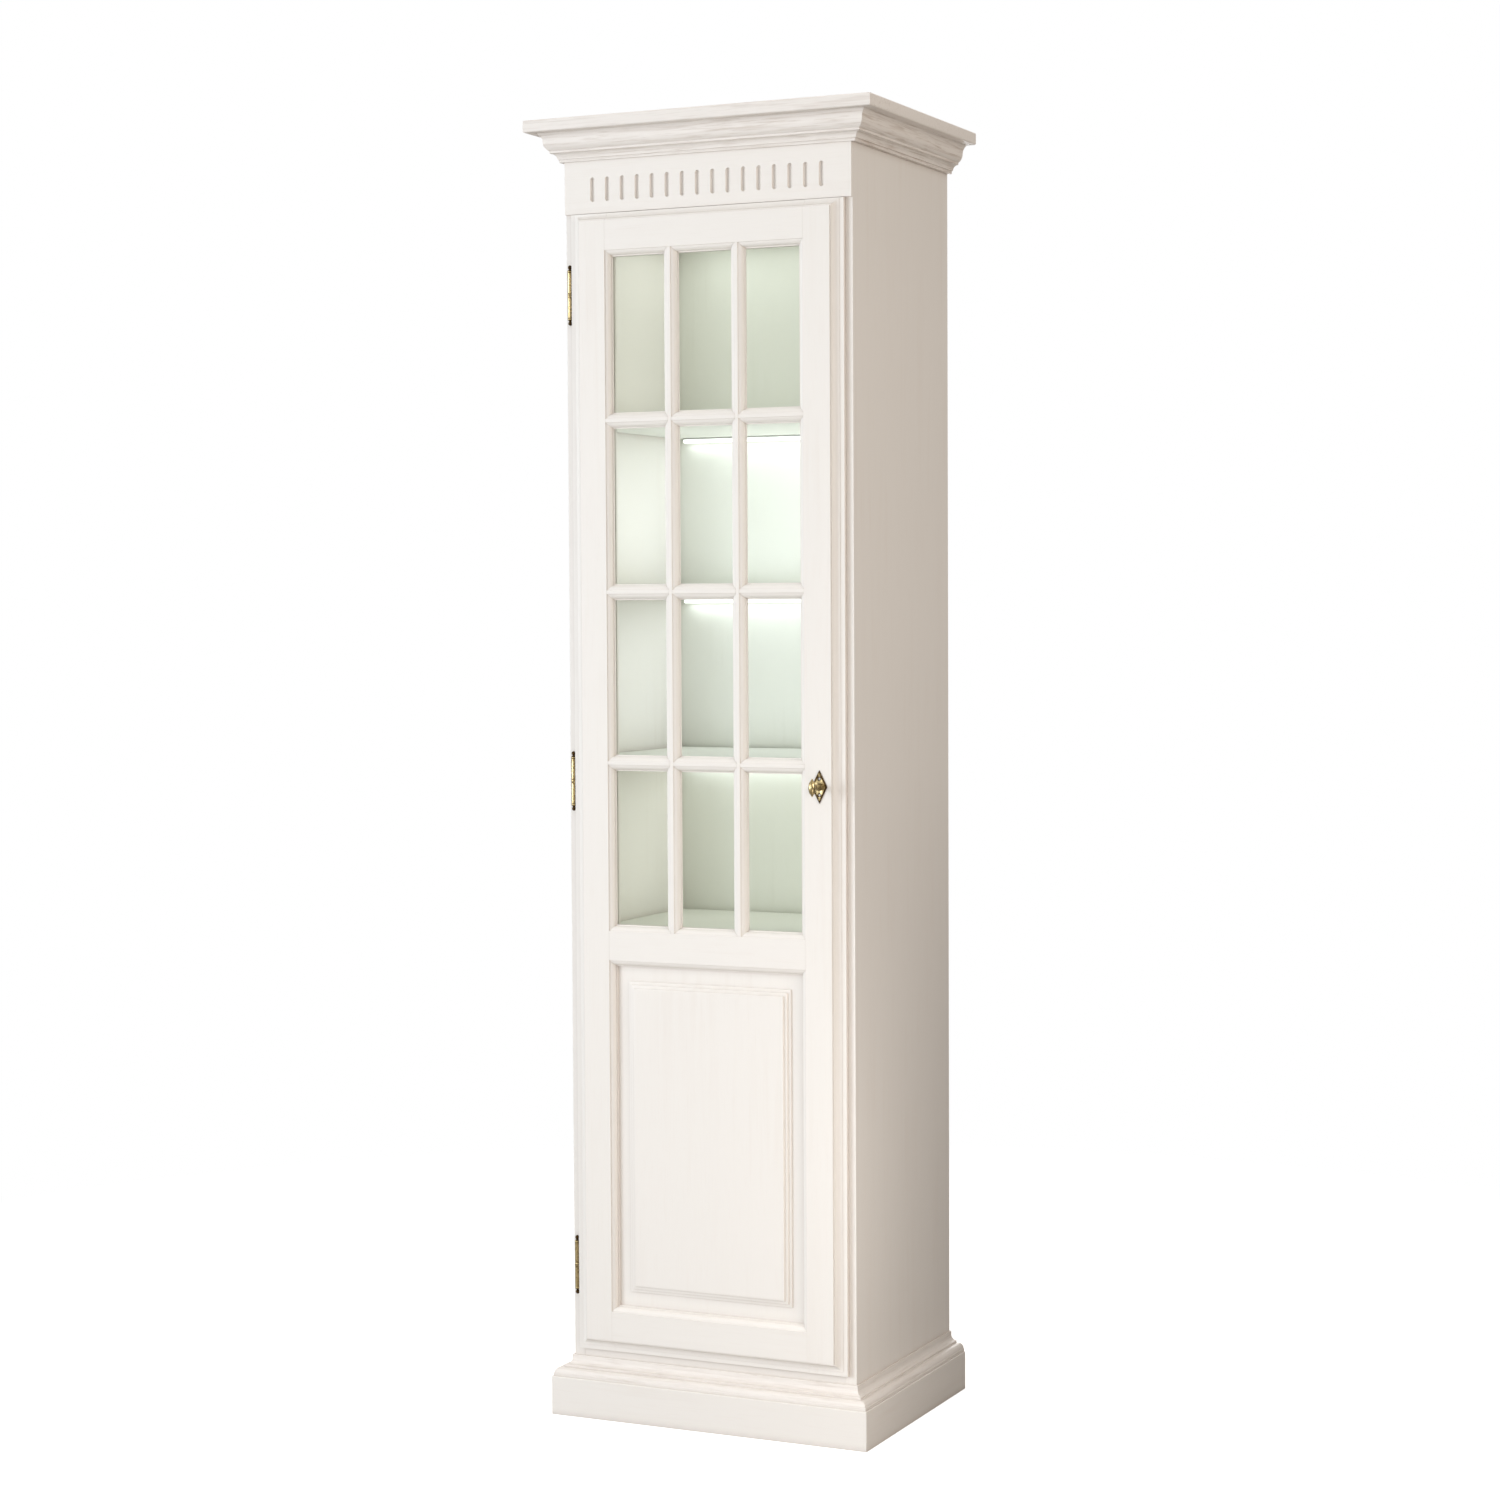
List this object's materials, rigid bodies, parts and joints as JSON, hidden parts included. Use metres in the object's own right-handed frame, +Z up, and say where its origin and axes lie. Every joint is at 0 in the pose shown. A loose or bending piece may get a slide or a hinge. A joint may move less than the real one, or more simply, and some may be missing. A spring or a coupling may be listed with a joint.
{
  "type": "curio cabinet",
  "caption": "Tall painted wooden display cabinet with fluted frieze, deep cornice, lit shelves and one door, glazed in panes above a raised panel.",
  "frame": {"origin": "on the floor, under the centre of the whole cabinet's plan", "axes": "+Z up; -Y towards the front, where the door is; +X to the right as seen from the front"},
  "size_m": [0.59, 0.4408, 2.05],
  "materials": {
    "outer_paint": "off-white paint over pine, satin, with fine brushed grain",
    "inner_paint": "pale grey-green paint over pine, matt",
    "antique_brass": "dark antique brass, worn bright on high spots",
    "steel": "zinc-plated steel, satin",
    "aluminium": "anodised, satin",
    "lamp": "opal diffuser, lit cool white",
    "glass": "clear float glass",
    "plastic": "moulded, matt"
  },
  "bodies": {
    "cabinet": {"left_side_panel": "outer_paint", "right_side_panel": "outer_paint", "back_panel": "inner_paint", "top_board": "inner_paint", "middle_board": "inner_paint", "bottom_board": "inner_paint", "shelf_top": "inner_paint", "shelf_middle": "inner_paint", "shelf_bottom": "inner_paint", "shelf_cupboard": "inner_paint", "shelf_pins": "steel", "top_rail": "outer_paint", "bottom_rail": "outer_paint", "frieze_board": "outer_paint", "cornice_front": "outer_paint", "cornice_left": "outer_paint", "cornice_right": "outer_paint", "cornice_top": "outer_paint", "base_cap_front": "outer_paint", "base_cap_left": "outer_paint", "base_cap_right": "outer_paint", "plinth_front": "outer_paint", "plinth_left": "outer_paint", "plinth_right": "outer_paint", "plinth_back": "outer_paint", "spot_housing": "aluminium", "spot_lens": "lamp", "light_bar_top": "aluminium", "light_bar_middle": "aluminium", "light_bar_bottom": "aluminium", "diffuser_top": "lamp", "diffuser_middle": "lamp", "diffuser_bottom": "lamp", "cable_grommet": "plastic", "hinge_frame_top": "antique_brass", "hinge_frame_middle": "antique_brass", "hinge_frame_bottom": "antique_brass", "hinge_pins": "steel", "strike_plate": "steel", "strike_screws": "steel"},
    "door": {"door_left_stile": "outer_paint", "door_right_stile": "outer_paint", "door_top_rail": "outer_paint", "door_middle_rail": "outer_paint", "door_bottom_rail": "outer_paint", "door_panel": "outer_paint", "glazing_bar_left": "outer_paint", "glazing_bar_right": "outer_paint", "cross_bar_top": "outer_paint", "cross_bar_middle": "outer_paint", "cross_bar_bottom": "outer_paint", "door_glass": "glass", "glass_beads": "outer_paint", "hinge_door_top": "antique_brass", "hinge_door_middle": "antique_brass", "hinge_door_bottom": "antique_brass", "knob_backplate": "antique_brass", "backplate_pins": "antique_brass"},
    "knob": {"turn_knob": "antique_brass", "latch_cam": "steel"}
  },
  "joints": [
    {"name": "door_hinge", "type": "hinge", "parent": "cabinet", "child": "door", "pos_m": [-0.2373, -0.1743, 1], "axis": [0, 0, -1], "range_deg": [0, 170]},
    {"name": "knob_turn", "type": "hinge", "parent": "door", "child": "knob", "pos_m": [0.19425, -0.17, 1.0135], "axis": [0, -1, 0], "range_deg": [0, 90]}
  ]
}
